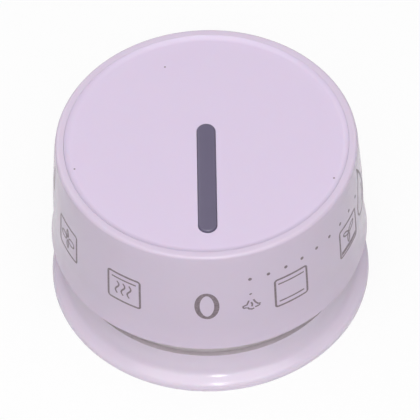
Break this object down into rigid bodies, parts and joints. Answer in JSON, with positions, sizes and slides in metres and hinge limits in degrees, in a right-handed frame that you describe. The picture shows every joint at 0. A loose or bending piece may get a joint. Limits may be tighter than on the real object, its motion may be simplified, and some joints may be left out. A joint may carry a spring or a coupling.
{
  "type": "oven control knob",
  "caption": "Round flared oven control knob with a sunk face and inlaid pointer, turning on a coved base collar, with a sprung D-shaft socket below.",
  "frame": {"origin": "centre of the collar's underside, on the panel's face", "axes": "+Z along the turning axis, out of the panel towards the user; -Y is where the pointer shows; +X to the right"},
  "size_m": [0.0466, 0.0466, 0.0282],
  "materials": {
    "drum_plastic": "gloss moulded",
    "face_plastic": "gloss moulded",
    "pointer_plastic": "satin moulded",
    "collar_plastic": "gloss moulded",
    "gasket_rubber": "matt",
    "washer_plastic": "waxy",
    "hub_plastic": "satin moulded",
    "clip_steel": "rolled strip"
  },
  "bodies": {
    "collar": {"collar_ring": "collar_plastic", "collar_gasket": "gasket_rubber", "glide_washer": "washer_plastic"},
    "knob": {"knob_shell": "drum_plastic", "face_disc": "face_plastic", "pointer_bar": "pointer_plastic", "hub_core": "hub_plastic", "boss_clip": "clip_steel"}
  },
  "joints": [
    {"name": "knob_turn", "type": "hinge", "parent": "collar", "child": "knob", "pos_m": [0, 0, 0], "axis": [0, 0, 1], "continuous": true}
  ]
}
